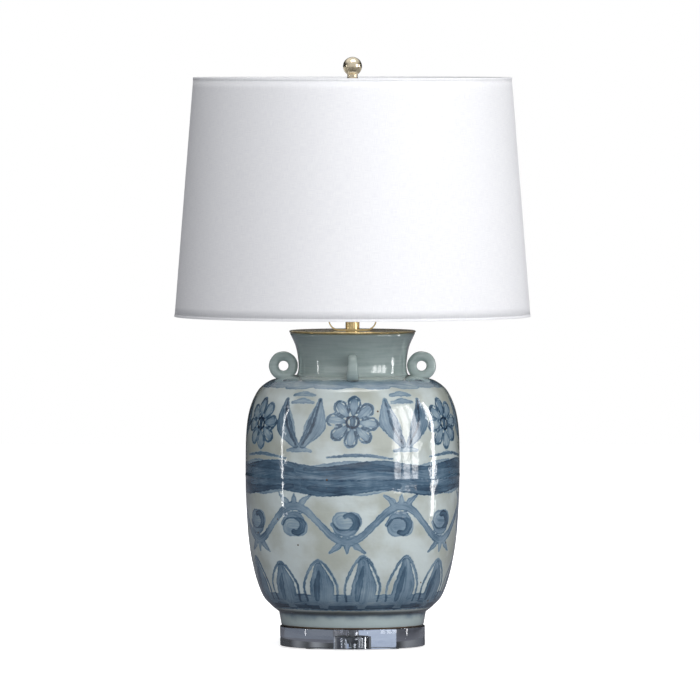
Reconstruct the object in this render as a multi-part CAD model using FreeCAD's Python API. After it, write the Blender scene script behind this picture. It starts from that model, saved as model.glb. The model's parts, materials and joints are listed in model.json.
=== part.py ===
import FreeCAD, Part

import math
import os

from FreeCAD import Placement, Rotation, Vector

# A table lamp: a glazed jar with four loops on a clear acrylic disc, a brass vase cap, a lamp socket
# inside a wire harp, and a linen drum shade that a ball finial holds down.
# Millimetres. The origin is the middle of the lamp's underside, +Z is up, and -Y is the front.
# The harp stands in the X-Z plane, the switch knob points to the front, and the cord leaves at the back.

ORIGIN = Vector(0, 0, 0)
X_AXIS = Vector(1, 0, 0)
Y_AXIS = Vector(0, 1, 0)
Z_AXIS = Vector(0, 0, 1)
INCH = 25.4

# Driving dimensions: the stand
PAD_HEIGHT = 1.5
PAD_RADIUS = 6.0
PAD_CIRCLE = 76.0
PAD_COUNT = 4
BASE_RADIUS = 93.0
BASE_THICKNESS = INCH
BASE_TOP = PAD_HEIGHT + BASE_THICKNESS
BASE_BEVEL = 0.6
COUNTERBORE_RADIUS = 16.0
COUNTERBORE_DEPTH = 12.0
BASE_WASHER_RADIUS = 14.0
BASE_WASHER_SHEET = 1.5
LOCK_WASHER_RADIUS = 8.5
LOCK_WASHER_GAP = 1.0

# The threaded rod is 1/8 IP lamp pipe. Everything it passes through has a clearance hole.
ROD_RADIUS = 4.95
ROD_BORE = 3.3
ROD_HOLE = 5.3
ROD_START = 3.5
ROD_SLOT_WIDTH = 4.5
ROD_SLOT_HEIGHT = 14.0

# The jar
JAR_HEIGHT = 375.4
FOOT_RADIUS = 91.2
FOOT_BEVEL = 1.6
JAR_WALL = 7.0
NECK_WALL = 6.5
FOOT_RECESS = 3.0
FOOT_RING_WIDTH = 9.0
FLOOR_THICKNESS = 4.6
LIP_HEIGHT = BASE_TOP + JAR_HEIGHT
LIP_RADIUS = 80.0
LOOP_RADIUS = 18.5
LOOP_HOLE = 6.25
LOOP_WIDTH = 14.0
LOOP_CIRCLE = 88.5
LOOP_HEIGHT = LIP_HEIGHT - 42.5
LOOP_ROUNDING = 4.5

# The cord's way out, low in the back of the jar
CORD_HEIGHT = BASE_TOP + 11.6
CORD_BORE = 2.8
BUSHING_RADIUS = 3.8
BUSHING_FLANGE = 5.3
BUSHING_PROUD = 1.8
BUSHING_START = 84.0
BUSHING_FLANGE_START = 90.0
BUSHING_SEAT = 93.2

# The brass cap, and what stands on it
CAP_RADIUS = 81.0
CAP_BEAD = 1.5
CAP_SHEET = 1.2
CAP_SKIRT_RADIUS = 68.0
CAP_SKIRT_DEPTH = 11.0
CAP_TOP = LIP_HEIGHT + 3.0
SADDLE_SHEET = 1.6
SADDLE_WIDTH = 11.0
SADDLE_FLAT = 18.0
SADDLE_BEND = 12.0
SADDLE_LEAN = 3.0
SADDLE_ARM = 26.0
TAB_WIDTH = 5.0
TAB_HEIGHT = 10.0
NUT_FLATS = 12.7
NUT_HEIGHT = 3.5
NECK_RADIUS = 9.0
NECK_HEIGHT = 15.0
NECK_FLUTES = 18
SADDLE_TOP = CAP_TOP + SADDLE_SHEET
NECK_TOP = SADDLE_TOP + NECK_HEIGHT

# The socket takes an E26 bulb
SOCKET_RADIUS = 16.6
SOCKET_SHEET = 0.5
SOCKET_CAP_HEIGHT = 20.0
SOCKET_TOP = NECK_TOP + 64.0
SHELL_START = NECK_TOP + SOCKET_CAP_HEIGHT - 4.0
INSULATOR_SHEET = 0.6
BODY_RADIUS = 13.6
SET_SCREW_RADIUS = 1.5
SET_SCREW_HEIGHT = NECK_TOP + 3.2
TERMINAL_HEIGHT = NECK_TOP + 25.0
TERMINAL_SHANK_RADIUS = 1.5
TERMINAL_HEAD_RADIUS = 3.2
TERMINAL_START = 9.0
SWITCH_HOLE = 3.0
SCREW_SHELL_START = NECK_TOP + 40.0
THREAD_RADIUS = 12.95
THREAD_DEPTH = 0.5
THREAD_PITCH = 3.63
THREAD_TURNS = 5
RUNNING_GAP = 0.1
SWITCH_HEIGHT = NECK_TOP + 30.0
SWITCH_SHAFT_RADIUS = 2.0
KNOB_RADIUS = 7.0
KNOB_START = SOCKET_RADIUS + 2.4
KNOB_LENGTH = 12.0
BULB_START = SCREW_SHELL_START + 2.6
BULB_CONTACT_RADIUS = 4.6
BULB_CONTACT_HEIGHT = 1.2
BULB_RADIUS = 30.0
BULB_TOP = NECK_TOP + 148.0
BULB_GLASS = 0.8

# The harp
HARP_WIRE = 2.0
HARP_HALF_WIDTH = 64.0
HARP_ARCH_STEPS = 8
HARP_TOP = LIP_HEIGHT + 315.7
HARP_COLLAR_RADIUS = 7.0
HARP_COLLAR_HEIGHT = 6.0
STUD_RADIUS = 3.175
STUD_LENGTH = 18.0
FERRULE_BORE = 3.6
FERRULE_RADIUS = 4.4
FERRULE_LENGTH = 16.0
FERRULE_SEAT_GAP = 0.3

# The shade
SHADE_BOTTOM = LIP_HEIGHT + 20.7
SHADE_HEIGHT = 12.063 * INCH
SHADE_TOP = SHADE_BOTTOM + SHADE_HEIGHT
SHADE_BOTTOM_RADIUS = 9 * INCH
SHADE_TOP_RADIUS = 8.05 * INCH
FABRIC_THICKNESS = 0.7
LINER_THICKNESS = 0.9
HEM_THICKNESS = 0.6
HEM_HEIGHT = 6.0
RING_WIRE = 1.6
RING_GAP = 0.15
SEAM_WIDTH = 12.0
SEAM_SHEET = 0.4
WASHER_RADIUS = 18.0
WASHER_THICKNESS = 2.0
WASHER_BOTTOM = HARP_TOP
SPOKE_WIRE = 1.8
SPOKE_COUNT = 3
SPOKE_FIRST_ANGLE = 90.0

# The finial
FINIAL_BALL_RADIUS = 12.2
FINIAL_BALL_HEIGHT = LIP_HEIGHT + 341.0
FINIAL_BORE = STUD_RADIUS + 0.05
FINIAL_FOOT_RADIUS = 9.0
FINIAL_NECK_RADIUS = 6.75


def outline_point(radius, height):
    """A point of an outline that is turned about the lamp's axis."""
    return Vector(radius, 0, height)


def polygon_edges(pairs):
    """Straight edges through (radius, height) pairs, open at the end."""
    corners = [outline_point(*pair) for pair in pairs]
    return [Part.makeLine(a, b) for a, b in zip(corners, corners[1:])]


def turned(edges):
    """The solid that a closed outline of edges sweeps when it is turned about Z."""
    outline = Part.Wire(Part.__sortEdges__(edges))
    return Part.Face(outline).revolve(ORIGIN, Z_AXIS, 360)


def turned_polygon(pairs):
    """A turned solid whose outline is the closed polygon through (radius, height) pairs."""
    return turned(polygon_edges(pairs + pairs[:1]))


def smooth_curve(pairs, start=None, end=None):
    """A spline through (radius, height) pairs, with optional directions at its ends."""
    curve = Part.BSplineCurve()
    points = [outline_point(*pair) for pair in pairs]
    if start and end:
        ends = {"InitialTangent": outline_point(*start), "FinalTangent": outline_point(*end)}
        curve.interpolate(Points=points, **ends)
    else:
        curve.interpolate(Points=points)
    return curve


def inner_curve(curve, distance, samples=16):
    """A curve beside an outline that runs upwards, nearer the axis by a wall's thickness."""
    first, last = curve.FirstParameter, curve.LastParameter
    pairs = []
    for step in range(samples + 1):
        parameter = first + (last - first) * step / samples
        place = curve.value(parameter)
        along = curve.tangent(parameter)[0]
        pairs.append((place.x - along.z * distance, place.z + along.x * distance))
    return smooth_curve(pairs)


def curve_ends(curve):
    """The (radius, height) pairs at a curve's two ends."""
    first = curve.value(curve.FirstParameter)
    last = curve.value(curve.LastParameter)
    return (first.x, first.z), (last.x, last.z)


def tube(outer, inner, low, high):
    """An upright tube, or a disc with a hole, on the lamp's axis."""
    return turned_polygon([(inner, low), (outer, low), (outer, high), (inner, high)])


def cylinder(radius, start, direction, length):
    return Part.makeCylinder(radius, length, start, direction)


def box(centre, size):
    """A box given by its middle and its full size."""
    corner = centre - size * 0.5
    return Part.makeBox(size.x, size.y, size.z, corner)


def swept(path_edges, profile):
    """A solid bar whose section, a closed wire at the path's start, follows the path."""
    return Part.Wire(path_edges).makePipeShell([profile], True, True)


def around(shape, count, first_angle=0.0):
    """Copies of a shape, evenly spaced about the lamp's axis, as separate solids."""
    copies = []
    for index in range(count):
        copy = shape.copy()
        copy.rotate(ORIGIN, Z_AXIS, first_angle + 360.0 * index / count)
        copies.append(copy)
    return Part.makeCompound(copies)


def mirrored(shape):
    """The shape on the other side of the Y-Z plane."""
    return shape.mirror(ORIGIN, X_AXIS)


def hexagon_nut(flats, bore, low, height):
    corner_radius = flats / math.sqrt(3)
    corners = []
    for index in range(7):
        angle = math.radians(60 * index)
        corners.append(Vector(corner_radius * math.cos(angle), corner_radius * math.sin(angle), low))
    body = Part.Face(Part.makePolygon(corners)).extrude(Z_AXIS * height)
    return body.cut(cylinder(bore, Vector(0, 0, low - 1), Z_AXIS, height + 2))


# ---- The stand: pads, acrylic base and the hardware under it ----


def base_pads():
    pad = cylinder(PAD_RADIUS, Vector(PAD_CIRCLE, 0, 0), Z_AXIS, PAD_HEIGHT)
    return around(pad, PAD_COUNT, 180.0 / PAD_COUNT)


def acrylic_base():
    disc = turned_polygon([
        (0, PAD_HEIGHT),
        (BASE_RADIUS - BASE_BEVEL, PAD_HEIGHT),
        (BASE_RADIUS, PAD_HEIGHT + BASE_BEVEL),
        (BASE_RADIUS, BASE_TOP - BASE_BEVEL),
        (BASE_RADIUS - BASE_BEVEL, BASE_TOP),
        (0, BASE_TOP),
    ])
    underside = Vector(0, 0, PAD_HEIGHT)
    disc = disc.cut(cylinder(ROD_HOLE, underside, Z_AXIS, BASE_THICKNESS))
    return disc.cut(cylinder(COUNTERBORE_RADIUS, underside, Z_AXIS, COUNTERBORE_DEPTH))


def bottom_washer():
    high = PAD_HEIGHT + COUNTERBORE_DEPTH
    return tube(BASE_WASHER_RADIUS, ROD_HOLE, high - BASE_WASHER_SHEET, high)


def lock_washer():
    """A split ring, with its gap at the front."""
    high = PAD_HEIGHT + COUNTERBORE_DEPTH - BASE_WASHER_SHEET
    ring = tube(LOCK_WASHER_RADIUS, ROD_HOLE, high - BASE_WASHER_SHEET, high)
    split = Vector(LOCK_WASHER_GAP, LOCK_WASHER_RADIUS, 2 * BASE_WASHER_SHEET)
    return ring.cut(box(Vector(0, -LOCK_WASHER_RADIUS, high), split))


def bottom_nut():
    high = PAD_HEIGHT + COUNTERBORE_DEPTH - 2 * BASE_WASHER_SHEET
    return hexagon_nut(NUT_FLATS, ROD_RADIUS, high - NUT_HEIGHT, NUT_HEIGHT)


def threaded_rod():
    """The hollow rod that clamps the lamp together, with a slot that lets the cord out in the jar."""
    rod = tube(ROD_RADIUS, ROD_BORE, ROD_START, NECK_TOP + 4.0)
    middle = Vector(0, ROD_RADIUS, CORD_HEIGHT + 8)
    slot = box(middle, Vector(ROD_SLOT_WIDTH, 2 * ROD_RADIUS, ROD_SLOT_HEIGHT))
    return rod.cut(slot)


# ---- The jar and its loops ----


def body_curve():
    """The jar's belly, from the top of the foot to the crease under the neck."""
    heights = [
        (94.2, 18.0),
        (103.6, 25.8),
        (116.0, 40.8),
        (127.0, 75.3),
        (134.8, 127.0),
        (137.2, 203.0),
        (134.6, 263.2),
        (123.3, 297.7),
        (107.1, 313.2),
        (88.0, 318.4),
        (71.5, 321.3),
    ]
    return smooth_curve([(radius, BASE_TOP + height) for radius, height in heights])


def neck_curve():
    """The neck, nearly upright at first and flaring to the lip."""
    heights = [(71.5, 321.3), (69.6, 326.5), (69.3, 338.5), (72.6, 357.5), (LIP_RADIUS, 374.4)]
    return smooth_curve([(radius, BASE_TOP + height) for radius, height in heights])


def jar_outside():
    """The jar as if it were solid, which also cuts what is stuck on it to its surface."""
    body, neck = body_curve(), neck_curve()
    foot = polygon_edges([
        (0, BASE_TOP),
        (FOOT_RADIUS - FOOT_BEVEL, BASE_TOP),
        (FOOT_RADIUS, BASE_TOP + FOOT_BEVEL),
        curve_ends(body)[0],
    ])
    lip = polygon_edges([
        curve_ends(neck)[1],
        (LIP_RADIUS - 1, LIP_HEIGHT),
        (0, LIP_HEIGHT),
        (0, BASE_TOP),
    ])
    return turned(foot + [body.toShape(), neck.toShape()] + lip)


def jar_inside():
    """The hollow of the jar, open at the lip."""
    body, neck = inner_curve(body_curve(), JAR_WALL), inner_curve(neck_curve(), NECK_WALL)
    floor = BASE_TOP + FOOT_RECESS + FLOOR_THICKNESS
    mouth = LIP_HEIGHT + 1
    low = polygon_edges([(0, floor), (85.0, floor), (86.5, BASE_TOP + 17), curve_ends(body)[0]])
    shoulder = polygon_edges([curve_ends(body)[1], curve_ends(neck)[0]])
    high = polygon_edges([curve_ends(neck)[1], (LIP_RADIUS - NECK_WALL, mouth), (0, mouth), (0, floor)])
    return turned(low + [body.toShape()] + shoulder + [neck.toShape()] + high)


def jar():
    shell = jar_outside().cut(jar_inside())
    shell = shell.cut(cylinder(FOOT_RADIUS - FOOT_RING_WIDTH, Vector(0, 0, BASE_TOP), Z_AXIS, FOOT_RECESS))
    shell = shell.cut(cylinder(ROD_HOLE, Vector(0, 0, BASE_TOP), Z_AXIS, 20))
    return shell.cut(cylinder(BUSHING_RADIUS, Vector(0, 60, CORD_HEIGHT), Y_AXIS, 60))


def loop(angle):
    """A clay ring that stands on the shoulder against the neck, cut to the jar where they are stuck."""
    side = Vector(LOOP_CIRCLE, -LOOP_WIDTH / 2, LOOP_HEIGHT)
    ring = cylinder(LOOP_RADIUS, side, Y_AXIS, LOOP_WIDTH)
    ring = ring.cut(cylinder(LOOP_HOLE, side, Y_AXIS, LOOP_WIDTH))
    rims = [edge for edge in ring.Edges if isinstance(edge.Curve, Part.Circle)]
    ring = ring.makeFillet(LOOP_ROUNDING, rims)
    ring.rotate(ORIGIN, Z_AXIS, angle)
    return ring.cut(jar_outside())


def cord_bushing():
    """A flanged bushing in the back of the foot, where the cord leaves."""
    start = Vector(0, BUSHING_START, CORD_HEIGHT)
    face = BUSHING_SEAT + BUSHING_PROUD
    sleeve = cylinder(BUSHING_RADIUS, start, Y_AXIS, face - start.y)
    under = Vector(0, BUSHING_FLANGE_START, CORD_HEIGHT)
    flange = cylinder(BUSHING_FLANGE, under, Y_AXIS, face - under.y)
    bore = cylinder(CORD_BORE, start, Y_AXIS, 20)
    return sleeve.fuse(flange.cut(jar_outside())).removeSplitter().cut(bore)


# ---- The vase cap and what stands on it ----


def vase_cap():
    """Spun brass: a flat disc with a rolled rim, and a skirt that centres it in the jar's mouth."""
    bead = Part.makeTorus(CAP_RADIUS - CAP_BEAD, CAP_BEAD, Vector(0, 0, LIP_HEIGHT + CAP_BEAD))
    disc = tube(CAP_RADIUS - CAP_BEAD, ROD_HOLE, CAP_TOP - CAP_SHEET, CAP_TOP)
    low, high = LIP_HEIGHT - CAP_SKIRT_DEPTH, CAP_TOP - CAP_SHEET / 3
    skirt = tube(CAP_SKIRT_RADIUS, CAP_SKIRT_RADIUS - CAP_SHEET, low, high)
    return disc.fuse([bead, skirt]).removeSplitter()


def harp_saddle():
    """A bent strap under the socket. Each arm ends in a tab that a foot of the harp lies against."""
    half = SADDLE_SHEET / 2
    level = CAP_TOP + half
    lean = math.radians(SADDLE_LEAN)
    bend_centre = Vector(SADDLE_FLAT, 0, level + SADDLE_BEND)
    middle = math.radians(-45)
    bend_end = bend_centre + Vector(math.cos(lean), 0, -math.sin(lean)) * SADDLE_BEND
    bend_middle = bend_centre + Vector(math.cos(middle), 0, math.sin(middle)) * SADDLE_BEND
    arm_end = bend_end + arm_direction() * SADDLE_ARM
    start, bend_start = Vector(0, 0, level), Vector(SADDLE_FLAT, 0, level)
    path = [
        Part.makeLine(start, bend_start),
        Part.Arc(bend_start, bend_middle, bend_end).toShape(),
        Part.makeLine(bend_end, arm_end),
    ]
    wide = SADDLE_WIDTH / 2
    section = Part.makePolygon([
        Vector(0, -wide, level - half),
        Vector(0, wide, level - half),
        Vector(0, wide, level + half),
        Vector(0, -wide, level + half),
        Vector(0, -wide, level - half),
    ])
    arm = swept(path, section)
    tab = leaning_box(-half, half, TAB_WIDTH, 0, TAB_HEIGHT)
    right = arm.fuse(tab)
    strap = right.fuse(mirrored(right)).removeSplitter()
    return strap.cut(cylinder(ROD_HOLE, Vector(0, 0, CAP_TOP - 1), Z_AXIS, 5))


def arm_direction():
    """The way the saddle's right arm, and the foot of the harp's right leg, point."""
    lean = math.radians(SADDLE_LEAN)
    return Vector(math.sin(lean), 0, math.cos(lean))


def arm_top():
    """The middle of the saddle's right arm where its tab starts."""
    lean = math.radians(SADDLE_LEAN)
    reach = Vector(math.cos(lean), 0, -math.sin(lean)) * SADDLE_BEND
    centre = Vector(SADDLE_FLAT, 0, CAP_TOP + SADDLE_SHEET / 2 + SADDLE_BEND)
    return centre + reach + arm_direction() * SADDLE_ARM


def on_right_arm(shape):
    """Moves a shape made upright at the origin onto the top of the right arm."""
    shape.Placement = Placement(arm_top(), Rotation(Y_AXIS, SADDLE_LEAN)).multiply(shape.Placement)
    return shape


def leaning_box(inner, outer, width, low, high):
    """A box on the right arm, between two distances across it and two heights along it."""
    centre = Vector((inner + outer) / 2, 0, (low + high) / 2)
    return on_right_arm(box(centre, Vector(outer - inner, width, high - low)))


def cap_nut():
    return hexagon_nut(NUT_FLATS, ROD_RADIUS, SADDLE_TOP, NUT_HEIGHT)


def neck_spacer():
    """A fluted brass cup, upside down over the nut, that the socket stands on."""
    cup = tube(NECK_RADIUS, ROD_RADIUS + 0.2, SADDLE_TOP, NECK_TOP)
    cup = cup.cut(tube(NECK_RADIUS - 1.2, ROD_RADIUS, SADDLE_TOP, NECK_TOP - 3.0))
    flute = cylinder(0.5, Vector(NECK_RADIUS + 0.15, 0, SADDLE_TOP + 2), Z_AXIS, NECK_HEIGHT - 4)
    return cup.cut(around(flute, NECK_FLUTES))


# ---- The socket ----


def socket_cap():
    """The bell-shaped cap, with a hub that screws onto the rod."""
    wall, rim = SOCKET_SHEET, SOCKET_RADIUS + SOCKET_SHEET
    high = NECK_TOP + SOCKET_CAP_HEIGHT
    bell = turned_polygon([
        (ROD_RADIUS, NECK_TOP),
        (7.0, NECK_TOP),
        (7.0, NECK_TOP + 6),
        (11.0, NECK_TOP + 9),
        (rim, NECK_TOP + 15.5),
        (rim, high),
        (SOCKET_RADIUS, high),
        (SOCKET_RADIUS, NECK_TOP + 16),
        (10.5, NECK_TOP + 9 + wall),
        (ROD_RADIUS, NECK_TOP + 7),
    ])
    return bell.cut(cylinder(SET_SCREW_RADIUS, Vector(0, 0, SET_SCREW_HEIGHT), Y_AXIS, 12))


def set_screw():
    start = Vector(0, ROD_RADIUS + RUNNING_GAP, SET_SCREW_HEIGHT)
    return cylinder(SET_SCREW_RADIUS, start, Y_AXIS, 3.2)


def socket_shell():
    """A sheet brass tube with a rolled top edge and a hole for the switch shaft."""
    inner = SOCKET_RADIUS - SOCKET_SHEET
    shell = tube(SOCKET_RADIUS, inner, SHELL_START, SOCKET_TOP)
    rim = Part.makeTorus(SOCKET_RADIUS - 0.2, 0.9, Vector(0, 0, SOCKET_TOP))
    rim = rim.cut(cylinder(inner, Vector(0, 0, SOCKET_TOP - 2), Z_AXIS, 4))
    return shell.fuse(rim).cut(switch_way(SWITCH_HOLE))


def switch_way(radius):
    """The space that the switch shaft passes through."""
    return cylinder(radius, Vector(0, -8, SWITCH_HEIGHT), -Y_AXIS, 12)


def socket_insulator():
    outer = SOCKET_RADIUS - SOCKET_SHEET
    sleeve = tube(outer, outer - INSULATOR_SHEET, SHELL_START + 1, SOCKET_TOP - 1)
    return sleeve.cut(switch_way(SWITCH_HOLE))


def socket_body():
    """The moulded body that holds the switch and the contacts."""
    body = tube(BODY_RADIUS, 3.0, NECK_TOP + 17, SCREW_SHELL_START)
    bearing = cylinder(SWITCH_SHAFT_RADIUS + 0.05, Vector(0, -4, SWITCH_HEIGHT), -Y_AXIS, 12)
    for screw in terminal_screws().Solids:
        body = body.cut(screw)
    return body.cut(bearing)


def terminal_screws():
    """Two round-headed screws in the sides of the socket body."""
    start = Vector(TERMINAL_START, 0, TERMINAL_HEIGHT)
    shank = cylinder(TERMINAL_SHANK_RADIUS, start, X_AXIS, BODY_RADIUS - TERMINAL_START)
    head = cylinder(TERMINAL_HEAD_RADIUS, Vector(BODY_RADIUS, 0, TERMINAL_HEIGHT), X_AXIS, 1.4)
    screw = shank.fuse(head)
    return Part.makeCompound([screw, mirrored(screw)])


def screw_shell():
    """The threaded cup that the bulb turns in."""
    inner = THREAD_RADIUS + RUNNING_GAP
    low = SCREW_SHELL_START
    cup = tube(inner + 0.5, inner, low, SOCKET_TOP - 2)
    return cup.fuse(tube(inner + 0.5, 5.5, low, low + 0.6)).removeSplitter()


def centre_contact():
    """A sprung tongue under the bulb's contact."""
    foot = cylinder(2.9, Vector(0, 0, SCREW_SHELL_START - 3), Z_AXIS, 4.2)
    tongue = box(Vector(0, 0, SCREW_SHELL_START + 1.7), Vector(4, 9, 1.0))
    return foot.fuse(tongue).removeSplitter()


def switch_shaft():
    return cylinder(SWITCH_SHAFT_RADIUS, Vector(0, -5, SWITCH_HEIGHT), -Y_AXIS, KNOB_START + 4 - 5)


def switch_knob():
    """A round foot with a flat paddle for the fingers."""
    face = Vector(0, -KNOB_START, SWITCH_HEIGHT)
    foot = cylinder(KNOB_RADIUS, face, -Y_AXIS, 3.5)
    paddle = box(face - Y_AXIS * (KNOB_LENGTH / 2), Vector(4.0, KNOB_LENGTH, 2 * KNOB_RADIUS))
    barrel = cylinder(KNOB_RADIUS, face, -Y_AXIS, KNOB_LENGTH)
    knob = foot.fuse(paddle.common(barrel)).removeSplitter()
    return knob.cut(switch_shaft())


# ---- The bulb ----


def bulb_base():
    """A thin threaded sleeve, its thread drawn as rings."""
    root = THREAD_RADIUS - THREAD_DEPTH
    low = BULB_START + 5.5
    pairs = [(root, low)]
    for turn in range(THREAD_TURNS):
        start = low + 1.0 + turn * THREAD_PITCH
        pairs += [(THREAD_RADIUS, start + THREAD_PITCH / 2), (root, start + THREAD_PITCH)]
    high = low + THREAD_PITCH * (THREAD_TURNS + 1)
    pairs += [(THREAD_RADIUS, high)]
    inner = root - 0.5
    return turned_polygon(pairs + [(inner, high), (inner, low)])


def bulb_insulator():
    low = BULB_START + BULB_CONTACT_HEIGHT
    high = low + 4.3
    edge = THREAD_RADIUS - THREAD_DEPTH - 0.6
    return turned_polygon([(0, low), (BULB_CONTACT_RADIUS, low), (edge, high), (0, high)])


def bulb_contact():
    high = BULB_START + BULB_CONTACT_HEIGHT
    return turned_polygon([(0, BULB_START), (3.0, BULB_START), (BULB_CONTACT_RADIUS, high), (0, high)])


def bulb_glass():
    """A pear-shaped A19 envelope, blown thin and closed over its neck."""
    low = BULB_START + 6.0 + THREAD_PITCH * (THREAD_TURNS - 1)
    centre = BULB_TOP - BULB_RADIUS
    neck = THREAD_RADIUS - THREAD_DEPTH - 0.9
    side = smooth_curve(
        [(neck, low), (neck + 0.4, low + 9), (21.0, low + 29), (BULB_RADIUS, centre)],
        start=(0, 1),
        end=(0, 1),
    )
    inside = inner_curve(side, BULB_GLASS)
    rim = polygon_edges([curve_ends(inside)[0], (neck, low)])
    pole = polygon_edges([(0, BULB_TOP - BULB_GLASS), (0, BULB_TOP)])
    crowns = [bulb_crown(BULB_RADIUS), bulb_crown(BULB_RADIUS - BULB_GLASS)]
    return turned([side.toShape(), inside.toShape()] + crowns + rim + pole)


def bulb_crown(radius):
    """A quarter of a circle over the widest part of the bulb."""
    centre = BULB_TOP - BULB_RADIUS
    diagonal = radius * math.sqrt(0.5)
    middle = outline_point(diagonal, centre + diagonal)
    return Part.Arc(outline_point(radius, centre), middle, outline_point(0, centre + radius)).toShape()


# ---- The harp ----


def harp():
    """Bent wire with flattened feet, from the saddle's arms out around the bulb to the shade's washer."""
    foot = leaning_box(SADDLE_SHEET / 2, 1.5 * SADDLE_SHEET, TAB_WIDTH, 1.0, TAB_HEIGHT + 1.5)
    direction = arm_direction()
    start = arm_top() + Vector(direction.z, 0, -direction.x) * (SADDLE_SHEET * 0.8) + direction * TAB_HEIGHT
    straight = start + direction * (FERRULE_LENGTH + 10)
    top = HARP_TOP - HARP_COLLAR_HEIGHT / 2
    waist = (straight.z + top) / 2
    flare = smooth_curve(
        [(straight.x, straight.z), (HARP_HALF_WIDTH * 0.8, straight.z + 42), (HARP_HALF_WIDTH, waist)],
        start=(direction.x, direction.z),
        end=(0, 1),
    )
    arch = []
    for step in range(HARP_ARCH_STEPS + 1):
        angle = math.pi / 2 * step / HARP_ARCH_STEPS
        arch.append((HARP_HALF_WIDTH * math.cos(angle), waist + (top - waist) * math.sin(angle)))
    crown = smooth_curve(arch, start=(0, 1), end=(-1, 0))
    section = Part.Wire(Part.makeCircle(HARP_WIRE, start, direction))
    leg = swept([Part.makeLine(start, straight), flare.toShape(), crown.toShape()], section)
    half = leg.fuse(foot)
    return half.fuse(mirrored(half)).removeSplitter()


def harp_stud(wire):
    """The collar crimped over the harp's top, with a 1/4-27 stud for the finial."""
    under = Vector(0, 0, HARP_TOP - HARP_COLLAR_HEIGHT)
    collar = cylinder(HARP_COLLAR_RADIUS, under, Z_AXIS, HARP_COLLAR_HEIGHT)
    stud = cylinder(STUD_RADIUS, Vector(0, 0, HARP_TOP), Z_AXIS, STUD_LENGTH)
    return collar.fuse(stud).removeSplitter().cut(wire)


def ferrule():
    """The sleeve over the right leg's joint. It slides up to free the harp."""
    low, high = FERRULE_SEAT_GAP, FERRULE_SEAT_GAP + FERRULE_LENGTH
    sleeve = turned_polygon([
        (FERRULE_BORE, low),
        (FERRULE_RADIUS, low),
        (FERRULE_RADIUS, high - 3),
        (FERRULE_RADIUS - 0.4, high),
        (FERRULE_BORE, high),
    ])
    sleeve.translate(Vector(SADDLE_SHEET * 0.4, 0, 0))
    return on_right_arm(sleeve)


# ---- The shade ----


def shade_radius(height):
    """The outer radius of the shade's hems at a height."""
    share = (height - SHADE_BOTTOM) / SHADE_HEIGHT
    return SHADE_BOTTOM_RADIUS + (SHADE_TOP_RADIUS - SHADE_BOTTOM_RADIUS) * share


def shade_layer(low, high, outside, inside):
    """A band of the shade's slanting wall, between two depths in from its outer surface."""
    return turned_polygon([
        (shade_radius(low) - inside, low),
        (shade_radius(low) - outside, low),
        (shade_radius(high) - outside, high),
        (shade_radius(high) - inside, high),
    ])


LINER_DEPTH = HEM_THICKNESS + FABRIC_THICKNESS
LINER_BACK = LINER_DEPTH + LINER_THICKNESS
RING_DEPTH = LINER_BACK + RING_GAP + RING_WIRE
HEM_BACK = RING_DEPTH + RING_WIRE + RING_GAP + HEM_THICKNESS


def shade_fabric():
    return shade_layer(SHADE_BOTTOM + HEM_THICKNESS, SHADE_TOP - HEM_THICKNESS, HEM_THICKNESS, LINER_DEPTH)


def shade_liner():
    return shade_layer(SHADE_BOTTOM + HEM_THICKNESS, SHADE_TOP - HEM_THICKNESS, LINER_DEPTH, LINER_BACK)


def hem(edge, upward):
    """A strip folded over the shade's edge and its wire. upward is the way the fold opens."""
    far = edge + upward * HEM_HEIGHT
    low, high = min(edge, far), max(edge, far)
    band = shade_layer(low, high, 0, HEM_BACK)
    start = edge + upward * HEM_THICKNESS
    inner_low, inner_high = min(start, far), max(start, far)
    return band.cut(shade_layer(inner_low, inner_high, HEM_THICKNESS, HEM_BACK - HEM_THICKNESS))


def frame_ring(edge, upward):
    """One of the two round wires that the shade is stretched over."""
    height = edge + upward * (HEM_THICKNESS + RING_GAP + RING_WIRE)
    radius = shade_radius(height) - RING_DEPTH
    return Part.makeTorus(radius, RING_WIRE, Vector(0, 0, height))


def back_seam():
    """The lapped strip of fabric down the back of the shade."""
    low, high = SHADE_BOTTOM + HEM_HEIGHT, SHADE_TOP - HEM_HEIGHT
    band = shade_layer(low, high, HEM_THICKNESS - SEAM_SHEET, HEM_THICKNESS)
    return band.common(box(Vector(0, 300, (low + high) / 2), Vector(SEAM_WIDTH, 600, high - low)))


def spider_washer():
    return tube(WASHER_RADIUS, STUD_RADIUS + RUNNING_GAP, WASHER_BOTTOM, WASHER_BOTTOM + WASHER_THICKNESS)


def spider_spokes():
    """Three straight wires from the washer up to the top ring, welded at both ends."""
    ring = frame_ring(SHADE_TOP, -1)
    ring_height = SHADE_TOP - HEM_THICKNESS - RING_GAP - RING_WIRE
    start = Vector(WASHER_RADIUS - 3, 0, WASHER_BOTTOM + WASHER_THICKNESS / 2)
    end = Vector(shade_radius(ring_height) - RING_DEPTH, 0, ring_height)
    spoke = cylinder(SPOKE_WIRE, start, end - start, (end - start).Length)
    return around(spoke.cut(ring).cut(spider_washer()), SPOKE_COUNT, SPOKE_FIRST_ANGLE)


# ---- The finial ----


def finial_ball():
    ball = Part.makeSphere(FINIAL_BALL_RADIUS, Vector(0, 0, FINIAL_BALL_HEIGHT))
    return ball.cut(cylinder(FINIAL_BORE, Vector(0, 0, HARP_TOP), Z_AXIS, STUD_LENGTH + 1))


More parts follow.
